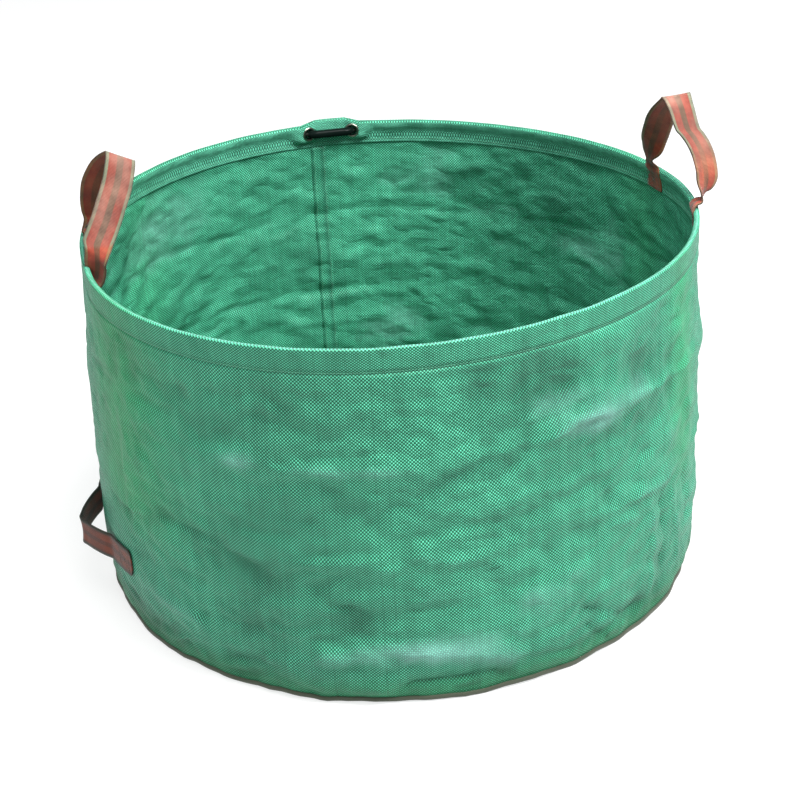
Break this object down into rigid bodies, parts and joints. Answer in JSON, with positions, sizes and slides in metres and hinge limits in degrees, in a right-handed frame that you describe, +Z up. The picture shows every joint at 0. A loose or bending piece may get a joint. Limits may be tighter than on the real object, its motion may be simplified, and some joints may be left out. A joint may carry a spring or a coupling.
{
  "type": "pop up leaf bag",
  "caption": "Round woven fabric garden bag with a flat base, a wall held open by a sprung hoop in its hem, and striped webbing handles at the rim and low on the wall.",
  "frame": {"origin": "middle of the flat base, on the floor", "axes": "+Z up along the bag's height, +Y towards the joint of the hoop at the back, +X towards the right-hand carrying handle"},
  "size_m": [0.8675, 0.8202, 0.6108],
  "materials": {
    "woven_green": "satin",
    "webbing": "matte",
    "thread": "matte",
    "hoop_rod": "satin",
    "hoop_sleeve": "gloss",
    "eyelet_metal": "satin"
  },
  "bodies": {
    "bag_base": {"base_panel": "woven_green", "base_seam_binding": "woven_green", "base_seam_stitching": "thread", "wall_panel": "woven_green", "wall_seam_lap": "woven_green", "wall_seam_stitching": "thread"},
    "rim": {"rim_hem": "woven_green", "hem_stitching": "thread", "rim_hoop": "hoop_rod", "hoop_sleeve": "hoop_sleeve", "right_eyelet": "eyelet_metal", "right_eyelet_washer": "eyelet_metal", "left_eyelet": "eyelet_metal", "left_eyelet_washer": "eyelet_metal", "right_handle_front_end": "webbing", "right_handle_front_stitching": "thread", "right_handle_back_end": "webbing", "right_handle_back_stitching": "thread", "left_handle_front_end": "webbing", "left_handle_front_stitching": "thread", "left_handle_back_end": "webbing", "left_handle_back_stitching": "thread"},
    "right_handle_loop": {"right_handle": "webbing"},
    "left_handle_loop": {"left_handle": "webbing"},
    "base_handle_mount": {"base_handle_front_end": "webbing", "base_handle_front_stitching": "thread", "base_handle_back_end": "webbing", "base_handle_back_stitching": "thread"},
    "base_handle_loop": {"base_handle": "webbing"}
  },
  "joints": [
    {"name": "rim_collapse", "type": "slide", "parent": "bag_base", "child": "rim", "axis": [0, 0, 1], "range_m": [-0.39, 0], "deforming": ["wall_panel", "wall_seam_lap", "wall_seam_stitching"]},
    {"name": "right_handle_swing", "type": "hinge", "parent": "rim", "child": "right_handle_loop", "pos_m": [0.38077, 0.0566, 0.483], "axis": [-0.1684, 0.9857, 0], "range_deg": [-106, 94]},
    {"name": "left_handle_swing", "type": "hinge", "parent": "rim", "child": "left_handle_loop", "pos_m": [-0.37071, -0.05571, 0.483], "axis": [0.1266, -0.992, 0], "range_deg": [-75, 125]},
    {"name": "base_handle_drop", "type": "slide", "parent": "bag_base", "child": "base_handle_mount", "axis": [0, 0, 1], "range_m": [-0.076, 0]},
    {"name": "base_handle_swing", "type": "hinge", "parent": "base_handle_mount", "child": "base_handle_loop", "pos_m": [-0.39041, -0.11204, 0.098], "axis": [-0.2689, 0.9632, 0], "range_deg": [-35, 35]}
  ],
  "couplings": [
    {"joint": "base_handle_drop", "follows": "rim_collapse", "ratio": 0.1936}
  ]
}
